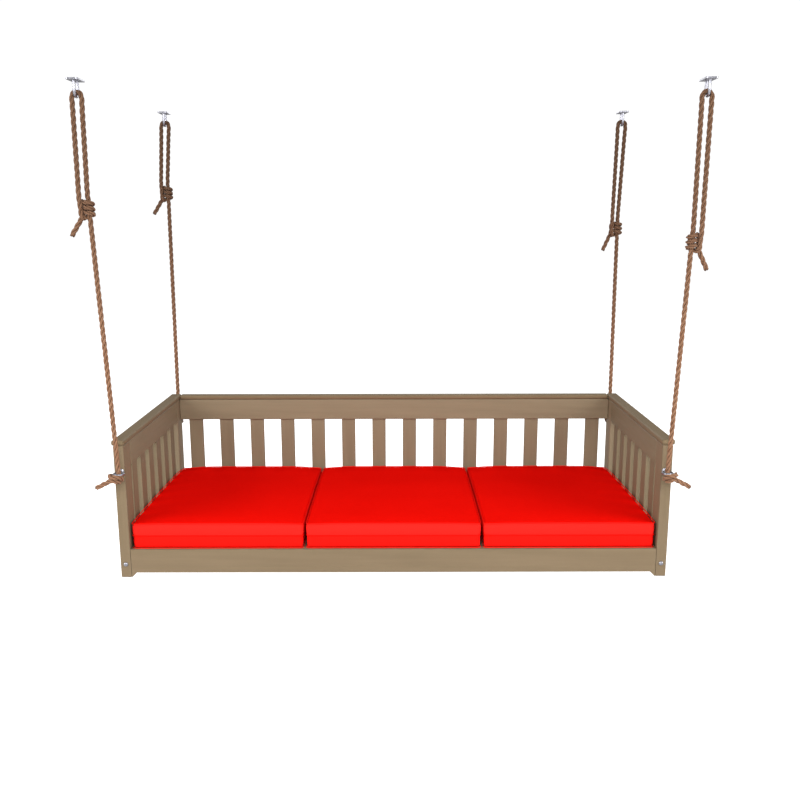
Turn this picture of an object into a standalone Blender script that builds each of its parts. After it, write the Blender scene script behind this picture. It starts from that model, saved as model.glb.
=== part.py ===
"""Hanging daybed: a three-seat porch swing on four knotted ropes.

Units are metres. X runs along the seat, the open front faces -Y, +Z is up. The origin is the middle
of the four hook plates, in the ceiling plane, so the whole object hangs below Z = 0.
"""
import math

import bmesh
import bpy
from mathutils import Matrix, Vector

# ---- driving dimensions -------------------------------------------------------------------------
HANG_HEIGHT = 1.715        # ceiling plane to the underside of the feet
FRAME_LENGTH = 2.000       # over the arm caps, along X
FRAME_DEPTH = 1.000        # over the arm caps, along Y
FRAME_HEIGHT = 0.512       # feet to the top of the caps
CAP_OVERHANG = 0.005       # caps stand proud of the posts by this much
CAP_THICKNESS = 0.019
CAP_WIDTH = 0.046
STOCK = 0.038              # thickness of posts and rails
POST_DEPTH = 0.089
TOP_RAIL_HEIGHT = 0.090
LOW_RAIL_HEIGHT = 0.089
FOOT = 0.018               # feet reach this far below the rails
SLAT_WIDTH = 0.060
SLAT_THICKNESS = 0.019
BACK_SLATS = 14
ARM_SLATS = 6
ARM_SLAT_WIDTH = 0.068
ARM_SLAT_PITCH = 0.130
SLAT_PITCH = 0.1368
DECK_BOARDS = 6
DECK_BOARD_WIDTH = 0.140
DECK_THICKNESS = 0.019
JOIST_X = 0.320
CLEAT_HEIGHT = 0.038
HIDDEN_EDGE = 0.001        # eased edges of the boards under the cushions
SLAT_EDGE = 0.0015
SLAT_TENON = 0.012         # arm slats are let this far into their lower rail
TOE = 0.001                # flat end of the front rail's toes, beside the posts
CUSHION_SPLIT = 0.323      # seams between the cushions, left and right of the middle
CUSHION_HEIGHT = 0.098
CUSHION_SETBACK = 0.008    # cushion fronts behind the rail's front face
CUSHION_SPACE = 0.002      # between neighbouring cushions, and at the arms
GAP = 0.0003               # between touching pieces
EDGE = 0.0025              # eased edges of the boards
CAP_EDGE = 0.006           # rounded edges of the caps
CUSHION_EDGE = 0.014

ROPE = 0.018               # rope diameter
EYE_HEIGHT = 0.398         # eye screws above the feet
EYE_REACH = 0.030          # eye ring centres beyond the caps
FRONT_EYE_X = 0.970
REAR_EYE_X = 0.9775
FRONT_HOOK_X = 1.024       # the front ropes splay outwards
REAR_HOOK_X = 0.972
EYE_WIRE = 0.004           # radius of the eye's steel
EYE_RING = 0.017           # radius of the ring's centre line
SHOULDER = 0.003           # thickness of the eye's shoulder
SHOULDER_RADIUS = 0.011
SHANK_DEPTH = 0.060
SHANK_POINT = 0.008        # length of the shank's point
HOLE_SPARE = 0.002         # a shank's hole is this much deeper
BOLT_HEIGHT = 0.050        # carriage bolts above the feet
BOLT_HEAD = 0.0085

PLATE_SIZE = (0.040, 0.088, 0.006)
SCREW_OFFSET = 0.035
SCREW_HOLE = 0.0035
STAPLE_WIRE = 0.005
STAPLE_BEND = 0.020
STAPLE_DROP = 0.055        # ceiling plane to the centre of the staple's bottom wire
LOOP_CLEARANCE = 0.0008    # between the staple's wire and the rope over it, so that the loop can rock
LOOP_RADIUS = ROPE / 2 + STAPLE_WIRE + 2 * LOOP_CLEARANCE

ROPE_STEP = 3 * ROPE       # between the points of a straight run
ROPE_START = 0.0045        # the rope starts this far below the middle of its eye
HITCH_STEPS = 10           # points in each turn
TURN_STEPS = 28            # points after the first turn's start, behind the standing part
HITCH_PITCH = ROPE + 0.0025
HITCH_RADIUS = ROPE + 0.0006   # centre line of the turns round the standing part
FALL_ASIDE = 0.0345        # the falling part beside the standing part,
FALL_FRONT = 0.0150        # and in front of it
TAIL_BACK = 0.0155         # the tail behind the standing part
TAIL = 0.085

KNOT_RADIUS = 0.0195       # stopper knot, a spindle lying along X
KNOT_HALF = 0.028          # half of its length
KNOT_TIP = 0.004           # radius of its inner end
KNOT_DROP = 0.0262         # its middle below the middle of the eye
KNOT_SHIFT = 0.004         # its middle outwards from the eye
KNOT_TAIL = 0.056          # reach of its tail beyond it
KNOT_TAIL_FALL = 0.40      # slope of that tail

# corner: side of X, side of Y, hitch centre above the feet, side that the tail points to, and its lean
CORNERS = {
    "front_left": (-1, -1, 1.3065, -1, 0.71),
    "front_right": (1, -1, 1.1956, 1, 0.55),
    "rear_left": (-1, 1, 1.3828, -1, 0.63),
    "rear_right": (1, 1, 1.2312, -1, 0.44),
}

# ---- places worked out from them ----------------------------------------------------------------
FLOOR = -HANG_HEIGHT
POST_X = FRAME_LENGTH / 2 - CAP_OVERHANG           # outer faces of the posts
POST_Y = FRAME_DEPTH / 2 - CAP_OVERHANG
INNER_X = POST_X - STOCK                           # inner faces of posts and side rails
INNER_Y = POST_Y - STOCK                           # inner faces of the front and rear rails
CAP_TOP = FLOOR + FRAME_HEIGHT
CAP_BOTTOM = CAP_TOP - CAP_THICKNESS
TOP_RAIL_BOTTOM = CAP_BOTTOM - GAP - TOP_RAIL_HEIGHT
LOW_RAIL_BOTTOM = FLOOR + FOOT
LOW_RAIL_TOP = LOW_RAIL_BOTTOM + LOW_RAIL_HEIGHT
DECK_BOTTOM = LOW_RAIL_TOP - DECK_THICKNESS
EYE_Y = FRAME_DEPTH / 2 + EYE_REACH
EYE_Z = FLOOR + EYE_HEIGHT
LOOP_TOP = -STAPLE_DROP + STAPLE_WIRE + LOOP_CLEARANCE + ROPE / 2


# ---- materials ----------------------------------------------------------------------------------
def make_material(name, colour, roughness, metallic=0.0):
    material = bpy.data.materials.new(name)
    material.use_nodes = True
    shader = material.node_tree.nodes["Principled BSDF"]
    shader.inputs["Base Color"].default_value = (*colour, 1.0)
    shader.inputs["Roughness"].default_value = roughness
    shader.inputs["Metallic"].default_value = metallic
    material.diffuse_color = (*colour, 1.0)
    return material


PAINTED_WOOD = ("painted_wood", (0.32, 0.23, 0.15), 0.55)
DECK_WOOD = ("deck_wood", (0.30, 0.22, 0.14), 0.65)
CUSHION_FABRIC = ("cushion_fabric", (0.65, 0.02, 0.01), 0.85)
ROPE_FIBRE = ("rope_fibre", (0.42, 0.22, 0.12), 0.9)
ZINC = ("zinc_plate", (0.62, 0.63, 0.65), 0.35, 1.0)


# ---- building blocks ----------------------------------------------------------------------------
def add_object(name, mesh, finish, location=(0, 0, 0)):
    """Put a mesh in the scene as one named sub-part with its own material."""
    item = bpy.data.objects.new(name, mesh)
    item.location = location
    bpy.context.scene.collection.objects.link(item)
    if not mesh.materials:
        mesh.materials.append(make_material(f"{finish[0]}_{name}", *finish[1:]))
    return item


def add_bevel(item, width, segments=1):
    bevel = item.modifiers.new("eased_edges", "BEVEL")
    bevel.width = width
    bevel.segments = segments
    bevel.limit_method = "ANGLE"
    bevel.harden_normals = False


def box_mesh(name, low, high):
    """A box between two corners, as a mesh whose vertices stay in the object's own frame."""
    bm = bmesh.new()
    size = Vector(high) - Vector(low)
    centre = (Vector(high) + Vector(low)) / 2
    bmesh.ops.create_cube(bm, size=1.0, matrix=Matrix.Translation(centre) @ Matrix.Diagonal((*size, 1)))
    mesh = bpy.data.meshes.new(name)
    bm.to_mesh(mesh)
    bm.free()
    return mesh


def add_board(name, low, high, finish=PAINTED_WOOD, edge=EDGE, segments=1):
    """A straight board between two corners, its origin in its middle."""
    middle = (Vector(high) + Vector(low)) / 2
    half = (Vector(high) - Vector(low)) / 2
    item = add_object(name, box_mesh(name, -half, half), finish, middle)
    add_bevel(item, edge, segments)
    return item


def tube_mesh(name, path, radii, sides):
    """A closed tube along a path, with one radius for each point."""
    bm = bmesh.new()
    rings = []
    side = None
    for index, point in enumerate(path):
        before = path[max(index - 1, 0)]
        after = path[min(index + 1, len(path) - 1)]
        along = (after - before).normalized()
        guess = side if side else along.orthogonal()
        side = (guess - along * guess.dot(along)).normalized()
        other = along.cross(side)
        ring = []
        for step in range(sides):
            angle = 2 * math.pi * (step + 0.5) / sides
            offset = side * math.cos(angle) + other * math.sin(angle)
            ring.append(bm.verts.new(point + offset * radii[index]))
        rings.append(ring)
    for lower, upper in zip(rings, rings[1:]):
        for step in range(sides):
            following = (step + 1) % sides
            bm.faces.new((lower[step], lower[following], upper[following], upper[step]))
    bm.faces.new(reversed(rings[0]))
    bm.faces.new(rings[-1])
    bmesh.ops.recalc_face_normals(bm, faces=bm.faces)
    mesh = bpy.data.meshes.new(name)
    bm.to_mesh(mesh)
    bm.free()
    shade_round(mesh)
    return mesh


def shade_round(mesh):
    mesh.shade_smooth()
    mesh.set_sharp_from_angle(angle=math.radians(40))


def combine(name, meshes, operation="UNION"):
    """Join or cut the first mesh with the others, and return the one closed result."""
    scene = bpy.context.scene.collection.objects
    base = bpy.data.objects.new("base", meshes[0])
    scene.link(base)
    tools = []
    for mesh in meshes[1:]:
        tool = bpy.data.objects.new("tool", mesh)
        scene.link(tool)
        tools.append(tool)
        boolean = base.modifiers.new("join", "BOOLEAN")
        boolean.operation = operation
        boolean.solver = "EXACT"
        boolean.object = tool
    graph = bpy.context.evaluated_depsgraph_get()
    result = bpy.data.meshes.new_from_object(base.evaluated_get(graph))
    result.name = name
    for item in [base, *tools]:
        bpy.data.objects.remove(item)
    return result


def smooth_path(knots, spacing):
    """Points a given distance apart on a smooth curve through the knots."""
    fine = []
    ends = [knots[0] * 2 - knots[1], *knots, knots[-1] * 2 - knots[-2]]
    for p0, p1, p2, p3 in zip(ends, ends[1:], ends[2:], ends[3:]):
        for step in range(8):
            t = step / 8
            fine.append(0.5 * (2 * p1 + (p2 - p0) * t + (2 * p0 - 5 * p1 + 4 * p2 - p3) * t ** 2
                               + (3 * p1 - p0 - 3 * p2 + p3) * t ** 3))
    fine.append(knots[-1])
    total = sum((b - a).length for a, b in zip(fine, fine[1:]))
    count = max(2, round(total / spacing))
    points = [fine[0]]
    walked = 0.0
    for a, b in zip(fine, fine[1:]):
        stretch = (b - a).length
        while len(points) < count and walked + stretch >= total * len(points) / count:
            share = (total * len(points) / count - walked) / stretch
            points.append(a.lerp(b, share))
        walked += stretch
    points.append(fine[-1])
    return points


# ---- frame --------------------------------------------------------------------------------------
def shank_cutter(x, height, depth, side_y):
    """The blind hole of a screw in a post, drilled from the face that looks along side_y."""
    face = side_y * POST_Y
    path = [Vector((x, face + side_y * 0.01, FLOOR + height)),
            Vector((x, face - side_y * depth, FLOOR + height))]
    radius = EYE_WIRE + GAP * 1.5
    return tube_mesh("hole", path, (radius, radius), 12)


def add_posts():
    for corner, (side_x, side_y, *_) in CORNERS.items():
        outer = Vector((side_x * POST_X, side_y * POST_Y, CAP_BOTTOM - GAP))
        inner = Vector((side_x * INNER_X, side_y * (POST_Y - POST_DEPTH), FLOOR))
        low = Vector(map(min, outer, inner))
        high = Vector(map(max, outer, inner))
        eye_x = side_x * (FRONT_EYE_X if side_y < 0 else REAR_EYE_X)
        cuts = [shank_cutter(eye_x, EYE_HEIGHT, SHANK_DEPTH + HOLE_SPARE, side_y)]
        if side_y < 0:
            bolt_x = side_x * (POST_X - STOCK / 2)
            cuts.append(shank_cutter(bolt_x, BOLT_HEIGHT, SHANK_DEPTH + HOLE_SPARE, side_y))
        mesh = combine(f"post_{corner}", [box_mesh("post", low, high), *cuts], "DIFFERENCE")
        post = add_object(f"post_{corner}", mesh, PAINTED_WOOD)
        bevel = post.modifiers.new("eased_edges", "BEVEL")
        bevel.width = EDGE
        bevel.limit_method = "WEIGHT"
        weigh_long_edges(mesh, STOCK / 2)


def weigh_long_edges(mesh, shortest):
    """Mark a post's own edges, and not the rims of its holes, for the bevel."""
    weights = mesh.attributes.new("bevel_weight_edge", "FLOAT", "EDGE")
    bm = bmesh.new()
    bm.from_mesh(mesh)
    for edge in bm.edges:
        corner = edge.is_manifold and edge.calc_face_angle() > math.radians(80)
        if corner and edge.calc_length() > shortest:
            weights.data[edge.index].value = 1.0
    bm.free()


def add_caps():
    half_x = FRAME_LENGTH / 2
    half_y = FRAME_DEPTH / 2
    for name, side in (("arm_cap_left", -1), ("arm_cap_right", 1)):
        across = sorted((side * half_x, side * (half_x - CAP_WIDTH)))
        add_board(name, (across[0], -half_y, CAP_BOTTOM), (across[1], half_y, CAP_TOP),
                  edge=CAP_EDGE, segments=2)
    reach = half_x - CAP_WIDTH - GAP
    add_board("back_cap", (-reach, half_y - CAP_WIDTH, CAP_BOTTOM), (reach, half_y, CAP_TOP),
              edge=CAP_EDGE, segments=2)


def add_rails():
    reach_x = INNER_X - GAP
    reach_y = POST_Y - POST_DEPTH - GAP
    top = CAP_BOTTOM - GAP
    for name, side in (("arm_top_rail_left", -1), ("arm_top_rail_right", 1)):
        across = sorted((side * INNER_X, side * POST_X))
        add_board(name, (across[0], -reach_y, TOP_RAIL_BOTTOM), (across[1], reach_y, top))
    add_board("back_top_rail", (-reach_x, INNER_Y, TOP_RAIL_BOTTOM), (reach_x, POST_Y, top))
    add_board("rear_rail", (-reach_x, INNER_Y, LOW_RAIL_BOTTOM), (reach_x, POST_Y, LOW_RAIL_TOP))
    add_front_rail(reach_x)


def add_front_rail(reach):
    """The front rail: its ends run down to the floor line in 45-degree toes beside the posts."""
    outline = [(-reach, FLOOR), (-reach + TOE, FLOOR), (-reach + TOE + FOOT, LOW_RAIL_BOTTOM),
               (reach - TOE - FOOT, LOW_RAIL_BOTTOM), (reach - TOE, FLOOR), (reach, FLOOR),
               (reach, LOW_RAIL_TOP), (-reach, LOW_RAIL_TOP)]
    bm = bmesh.new()
    face = bm.faces.new([bm.verts.new((x, -POST_Y, z)) for x, z in outline])
    pushed = bmesh.ops.extrude_face_region(bm, geom=[face])
    moved = [part for part in pushed["geom"] if isinstance(part, bmesh.types.BMVert)]
    bmesh.ops.translate(bm, verts=moved, vec=(0, STOCK, 0))
    bmesh.ops.recalc_face_normals(bm, faces=bm.faces)
    mesh = bpy.data.meshes.new("front_rail")
    bm.to_mesh(mesh)
    bm.free()
    rail = add_object("front_rail", mesh, PAINTED_WOOD)
    add_bevel(rail, EDGE / 3)


def add_arm_panels():
    """Each arm's lower rail with its upright slats let into it."""
    reach = POST_Y - POST_DEPTH - GAP
    middle = POST_X - STOCK / 2
    slat_top = TOP_RAIL_BOTTOM - GAP
    for name, side in (("arm_panel_left", -1), ("arm_panel_right", 1)):
        across = sorted((side * INNER_X, side * POST_X))
        pieces = [box_mesh("rail", (across[0], -reach, LOW_RAIL_BOTTOM), (across[1], reach, LOW_RAIL_TOP))]
        centre = side * middle
        for index in range(ARM_SLATS):
            y = (index - (ARM_SLATS - 1) / 2) * ARM_SLAT_PITCH
            low = (centre - SLAT_THICKNESS / 2, y - ARM_SLAT_WIDTH / 2, LOW_RAIL_TOP - SLAT_TENON)
            high = (centre + SLAT_THICKNESS / 2, y + ARM_SLAT_WIDTH / 2, slat_top)
            pieces.append(box_mesh("slat", low, high))
        add_object(name, combine(name, pieces), PAINTED_WOOD)


def add_back_slats():
    middle = POST_Y - STOCK / 2
    for index in range(BACK_SLATS):
        x = (index - (BACK_SLATS - 1) / 2) * SLAT_PITCH
        low = (x - SLAT_WIDTH / 2, middle - SLAT_THICKNESS / 2, LOW_RAIL_TOP + GAP)
        high = (x + SLAT_WIDTH / 2, middle + SLAT_THICKNESS / 2, TOP_RAIL_BOTTOM - GAP)
        add_board(f"back_slat_{index + 1:02d}", low, high, edge=SLAT_EDGE)


def add_deck():
    reach_y = INNER_Y - GAP
    for name, side in (("deck_cleat_left", -1), ("deck_cleat_right", 1)):
        outer = side * (INNER_X - GAP)
        across = sorted((outer, outer - side * SLAT_THICKNESS))
        low = (across[0], -reach_y, DECK_BOTTOM - GAP - CLEAT_HEIGHT)
        add_board(name, low, (across[1], reach_y, DECK_BOTTOM - GAP), DECK_WOOD, edge=HIDDEN_EDGE)
    for name, side in (("joist_left", -1), ("joist_right", 1)):
        x = side * JOIST_X
        low = (x - STOCK / 2, -reach_y, LOW_RAIL_BOTTOM)
        add_board(name, low, (x + STOCK / 2, reach_y, DECK_BOTTOM - GAP), DECK_WOOD, edge=HIDDEN_EDGE)
    spare = (2 * INNER_Y - DECK_BOARDS * DECK_BOARD_WIDTH) / (DECK_BOARDS + 1)
    reach_x = INNER_X - GAP
    for index in range(DECK_BOARDS):
        y = -INNER_Y + spare + index * (DECK_BOARD_WIDTH + spare)
        add_board(f"deck_board_{index + 1}", (-reach_x, y, DECK_BOTTOM),
                  (reach_x, y + DECK_BOARD_WIDTH, LOW_RAIL_TOP), DECK_WOOD, edge=SLAT_EDGE)


def add_cushions():
    edges = [-INNER_X, -CUSHION_SPLIT, CUSHION_SPLIT, INNER_X]
    for name, left, right in zip(("cushion_left", "cushion_middle", "cushion_right"), edges, edges[1:]):
        low = (left + CUSHION_SPACE, -POST_Y + CUSHION_SETBACK, LOW_RAIL_TOP + GAP)
        high = (right - CUSHION_SPACE, INNER_Y - CUSHION_SPACE, LOW_RAIL_TOP + CUSHION_HEIGHT)
        add_board(name, low, high, CUSHION_FABRIC, edge=CUSHION_EDGE, segments=2)


# ---- hardware -----------------------------------------------------------------------------------
def ring_mesh(name, radius, wire, steps, sides):
    """A ring lying flat around the origin."""
    bm = bmesh.new()
    section = bmesh.ops.create_circle(bm, segments=sides, radius=wire)["verts"]
    turn = Matrix.Translation((radius, 0, 0)) @ Matrix.Rotation(math.pi / 2, 4, "X")
    bmesh.ops.transform(bm, matrix=turn, verts=section)
    bmesh.ops.spin(bm, geom=bm.edges[:], cent=(0, 0, 0), axis=(0, 0, 1), angle=2 * math.pi,
                   steps=steps, use_merge=True)
    bmesh.ops.remove_doubles(bm, verts=bm.verts, dist=0.00005)
    bmesh.ops.recalc_face_normals(bm, faces=bm.faces)
    mesh = bpy.data.meshes.new(name)
    bm.to_mesh(mesh)
    bm.free()
    return mesh


def eye_screw_mesh():
    """Ring, neck, shoulder and shank as one forging, made for a front post: the shank runs along +Y."""
    face = EYE_Y - POST_Y - GAP
    stations = [(EYE_RING, EYE_WIRE), (face - SHOULDER, EYE_WIRE), (face - SHOULDER, SHOULDER_RADIUS),
                (face, SHOULDER_RADIUS), (face, EYE_WIRE), (face + SHANK_DEPTH - SHANK_POINT, EYE_WIRE),
                (face + SHANK_DEPTH, EYE_WIRE / 4)]
    path = []
    radii = []
    for index, (y, radius) in enumerate(stations):
        path.append(Vector((0, y + index * 1e-6, 0)))
        radii.append(radius)
    shank = tube_mesh("shank", path, radii, 12)
    mesh = combine("eye_screw", [ring_mesh("ring", EYE_RING, EYE_WIRE, 20, 8), shank])
    shade_round(mesh)
    return mesh


def add_eye_screws():
    for corner, (side_x, side_y, *_) in CORNERS.items():
        x = side_x * (FRONT_EYE_X if side_y < 0 else REAR_EYE_X)
        screw = add_object(f"eye_screw_{corner}", eye_screw_mesh(), ZINC, (x, side_y * EYE_Y, EYE_Z))
        if side_y > 0:
            screw.rotation_euler = (0, 0, math.pi)


def add_carriage_bolts():
    """Domed heads low on the front posts, each with its shank in the post."""
    for name, side in (("carriage_bolt_left", -1), ("carriage_bolt_right", 1)):
        profile = [(-0.0045, 0.002), (-0.0038, 0.005), (-0.0022, 0.0075), (0, BOLT_HEAD),
                   (0.00001, EYE_WIRE), (SHANK_DEPTH, EYE_WIRE)]
        path = [Vector((0, y, 0)) for y, _ in profile]
        mesh = tube_mesh(name, path, [radius for _, radius in profile], 12)
        add_object(name, mesh, ZINC, (side * (POST_X - STOCK / 2), -POST_Y - GAP, FLOOR + BOLT_HEIGHT))


def hook_mesh():
    """A screwed plate with a staple below it, in the YZ plane."""
    size_x, size_y, thickness = PLATE_SIZE
    plate = box_mesh("plate", (-size_x / 2, -size_y / 2, -thickness), (size_x / 2, size_y / 2, 0))
    holes = [tube_mesh("hole", [Vector((0, y, 0.01)), Vector((0, y, -0.02))], (SCREW_HOLE, SCREW_HOLE), 12)
             for y in (-SCREW_OFFSET, SCREW_OFFSET)]
    plate = combine("plate", [plate, *holes], "DIFFERENCE")
    bend = -STAPLE_DROP + STAPLE_BEND
    path = [Vector((0, -STAPLE_BEND, -thickness / 2))]
    for step in range(11):
        angle = math.pi * step / 10
        path.append(Vector((0, -STAPLE_BEND * math.cos(angle), bend - STAPLE_BEND * math.sin(angle))))
    path.append(Vector((0, STAPLE_BEND, -thickness / 2)))
    staple = tube_mesh("staple", path, [STAPLE_WIRE] * len(path), 10)
    mesh = combine("ceiling_hook", [plate, staple])
    shade_round(mesh)
    return mesh


def add_hooks():
    for corner, (side_x, side_y, *_) in CORNERS.items():
        x = side_x * (FRONT_HOOK_X if side_y < 0 else REAR_HOOK_X)
        add_object(f"ceiling_hook_{corner}", hook_mesh(), ZINC, (x, side_y * EYE_Y, 0))


# ---- ropes --------------------------------------------------------------------------------------
def rope_route(corner):
    """The rope from its eye screw up over the hook, back to the standing part and round it."""
    side_x, side_y, hitch_height, tail_side, lean = CORNERS[corner]
    front = side_y < 0
    eye = Vector((side_x * (FRONT_EYE_X if front else REAR_EYE_X), side_y * EYE_Y, EYE_Z))
    top = Vector((side_x * (FRONT_HOOK_X if front else REAR_HOOK_X), side_y * EYE_Y, LOOP_TOP))
    up = (top - eye).normalized()
    behind = Vector((0, 1, 0))
    across = behind.cross(up) * tail_side
    middle = eye + up * ((FLOOR + hitch_height - EYE_Z) / up.z)
    loop = top - up * LOOP_RADIUS

    def by_hitch(aside, back, rise):
        """A point beside the hitch's middle, with its height counted in turns."""
        return middle + across * aside + behind * back + up * rise * HITCH_PITCH

    standing = smooth_path([eye - up * ROPE_START, (eye + middle) / 2, middle], ROPE_STEP)
    rising = smooth_path([middle + up * ROPE_STEP, loop - across * LOOP_RADIUS], ROPE_STEP)
    arc = []
    for step in range(1, 8):
        angle = math.pi * step / 8
        arc.append(loop + up * LOOP_RADIUS * math.sin(angle) - across * LOOP_RADIUS * math.cos(angle))
    falling = smooth_path([loop + across * LOOP_RADIUS, by_hitch(FALL_ASIDE, -FALL_FRONT, 2.6)], ROPE_STEP)
    falling += [by_hitch(FALL_ASIDE, -FALL_FRONT, rise) for rise in (1.4, 0.4, -0.6)]
    under = [by_hitch(0.93 * FALL_ASIDE, -0.7 * FALL_FRONT, -1.3),
             by_hitch(0.7 * FALL_ASIDE, 0.2 * FALL_FRONT, -1.7)]
    turns = []
    for step in range(-1, TURN_STEPS):
        share = step / HITCH_STEPS
        swing = 2 * math.pi * share
        turns.append(by_hitch(-HITCH_RADIUS * math.sin(swing), HITCH_RADIUS * math.cos(swing), share - 1.25))
    away = (across * lean - up).normalized()
    crook = by_hitch(1.05 * FALL_ASIDE, TAIL_BACK, -1.3)
    over = [by_hitch(0.76 * FALL_ASIDE, 0.4 * TAIL_BACK, 2.05), by_hitch(0.95 * FALL_ASIDE, TAIL_BACK, 1.7),
            by_hitch(FALL_ASIDE, TAIL_BACK, 0.8), by_hitch(FALL_ASIDE, TAIL_BACK, -0.4), crook]
    tail = [crook + away * TAIL * share for share in (0.25, 0.6, 1.0)]
    return standing + rising + arc + falling + under + turns + over + tail


def add_ropes():
    for corner in CORNERS:
        curve = bpy.data.curves.new(f"rope_{corner}", "CURVE")
        curve.dimensions = "3D"
        curve.bevel_depth = ROPE / 2
        curve.bevel_resolution = 2
        curve.use_fill_caps = True
        curve.resolution_u = 1
        curve.render_resolution_u = 0
        points = rope_route(corner)
        spline = curve.splines.new("POLY")
        spline.points.add(len(points) - 1)
        for target, point in zip(spline.points, points):
            target.co = (*point, 1.0)
        curve.materials.append(make_material(f"rope_fibre_{corner}", *ROPE_FIBRE[1:]))
        rope = bpy.data.objects.new(f"rope_{corner}", curve)
        bpy.context.scene.collection.objects.link(rope)


def end_knot_mesh(name, eye, side_x, side_y):
    """The stopper knot under an eye: a spindle and a falling tail."""
    centre = eye + Vector((side_x * KNOT_SHIFT, side_y * KNOT_SHIFT / 2, -KNOT_DROP))
    outward = Vector((side_x, 0, 0))
    path = []
    radii = []
    for step in range(9):
        swing = math.pi * step / 10
        path.append(centre - outward * KNOT_HALF * math.cos(swing))
        radii.append(max(KNOT_RADIUS * math.sin(swing), KNOT_TIP))
    for share in (0, 0.5, 1):
        reach = KNOT_HALF + KNOT_TAIL * share
        path.append(centre + outward * reach - Vector((0, 0, KNOT_TAIL * share * KNOT_TAIL_FALL)))
        radii.append(ROPE / 2)
    mesh = tube_mesh(name, path, radii, 12)
    shade_round(mesh)
    return mesh


def add_end_knots():
    for corner, (side_x, side_y, *_) in CORNERS.items():
        eye = Vector((side_x * (FRONT_EYE_X if side_y < 0 else REAR_EYE_X), side_y * EYE_Y, EYE_Z))
        name = f"end_knot_{corner}"
        add_object(name, end_knot_mesh(name, eye, side_x, side_y), ROPE_FIBRE)


# ---- assembly -----------------------------------------------------------------------------------
def main():
    for item in list(bpy.data.objects):
        bpy.data.objects.remove(item)
    add_posts()
    add_caps()
    add_rails()
    add_arm_panels()
    add_back_slats()
    add_deck()
    add_cushions()
    add_eye_screws()
    add_carriage_bolts()
    add_hooks()
    add_ropes()
    add_end_knots()


main()
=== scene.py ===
"""Looks of the hanging daybed swing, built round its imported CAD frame.

Units are metres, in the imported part's own frame: X along the seat, the open front faces -Y, +Z is up
and the origin lies in the ceiling plane, above the middle of the seat.
"""
import math
import random

import bmesh
import bpy
import numpy as np
from mathutils import Matrix, Vector


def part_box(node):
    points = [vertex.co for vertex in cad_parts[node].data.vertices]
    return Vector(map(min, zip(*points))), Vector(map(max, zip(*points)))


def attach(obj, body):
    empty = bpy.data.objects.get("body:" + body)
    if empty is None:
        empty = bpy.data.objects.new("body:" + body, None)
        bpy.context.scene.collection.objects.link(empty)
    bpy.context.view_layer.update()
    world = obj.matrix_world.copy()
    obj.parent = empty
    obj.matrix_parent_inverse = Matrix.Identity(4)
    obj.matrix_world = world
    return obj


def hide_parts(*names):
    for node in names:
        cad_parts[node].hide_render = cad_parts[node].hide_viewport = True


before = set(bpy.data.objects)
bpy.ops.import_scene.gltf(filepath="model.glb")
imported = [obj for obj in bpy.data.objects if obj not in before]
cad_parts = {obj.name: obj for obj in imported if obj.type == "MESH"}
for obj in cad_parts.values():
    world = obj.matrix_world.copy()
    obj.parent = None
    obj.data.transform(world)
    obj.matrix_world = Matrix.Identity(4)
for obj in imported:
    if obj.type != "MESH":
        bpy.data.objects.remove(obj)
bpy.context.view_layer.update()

# ---- sizes of the ropes -------------------------------------------------------------------------
ROPE = 0.018               # diameter
EYE_Y = 0.530              # eyes and hooks from the middle, along Y
LOOP_TOP = -0.0402         # centre line of the rope where it lies on the staple
LOOP_RADIUS = 0.0156
ROPE_STEP = 3 * ROPE
ROPE_START = 0.0045        # the rope's first point below the middle of its eye
HITCH_STEPS = 10           # points on one turn of the hitch
TURN_STEPS = 28            # points on all its turns
HITCH_PITCH = 0.0168       # the soft rope is squeezed in the hitch, so its turns lie closer
HITCH_RADIUS = 0.0138
HITCH_REACH = 0.034        # the rope is squeezed this far round the hitch's middle
FALL_ASIDE = 0.0258        # the falling part beside and in front of the standing part
FALL_FRONT = 0.0115
TAIL_BACK = 0.0125
TAIL = 0.077
SQUEEZE = 0.84             # thickness of the pulled-tight turns

# corner: side of X, side of Y, hitch centre above the feet, side that the tail points to, and its lean
CORNERS = {
    "front_left": (-1, -1, 1.3065, -1, 0.71),
    "front_right": (1, -1, 1.1956, 1, 0.55),
    "rear_left": (-1, 1, 1.3828, -1, 0.63),
    "rear_right": (1, 1, 1.2312, -1, 0.44),
}

# ---- rope structure -----------------------------------------------------------------------------
STRANDS = 3
STRAND_RADIUS = 0.0043
STRAND_CENTRE = ROPE / 2 - STRAND_RADIUS
UNEVEN = 0.04              # how much the strands' thickness varies
LAY = 4 * ROPE             # length in which a strand goes once round
RING_STEP = 0.003          # between the rings of a strand's mesh
STRAND_SIDES = 12
CUT_LENGTH = 0.007         # the dark, bound stretch at a cut end

# the stopper knot under an eye: outwards, away from the post, and up, from the middle of the eye
KNOT = [
    (0.000, -0.001, -0.008), (-0.003, -0.008, -0.017), (-0.008, -0.005, -0.021), (-0.010, 0.006, -0.016),
    (-0.007, 0.018, -0.010), (0.004, 0.024, -0.006), (0.017, 0.021, -0.007), (0.027, 0.011, -0.007),
    (0.030, -0.003, -0.006), (0.021, -0.012, -0.016), (0.005, -0.009, -0.027), (0.000, 0.006, -0.028),
    (0.011, 0.014, -0.023), (0.027, 0.008, -0.023), (0.053, 0.002, -0.036), (0.083, 0.002, -0.051),
]

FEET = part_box("post_front_left")[0][2]
EYE_Z = sum(corner[2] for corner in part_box("eye_screw_front_left")) / 2


# ---- small helpers ------------------------------------------------------------------------------
def middle_of(node):
    low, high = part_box(node)
    return (Vector(low) + Vector(high)) / 2


def link(item):
    bpy.context.scene.collection.objects.link(item)
    return item


def mesh_object(name, points, faces, smooth=True):
    mesh = bpy.data.meshes.new(name)
    mesh.from_pydata(np.asarray(points).tolist(), [], faces)
    if smooth:
        mesh.shade_smooth()
    return link(bpy.data.objects.new(name, mesh))


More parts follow.
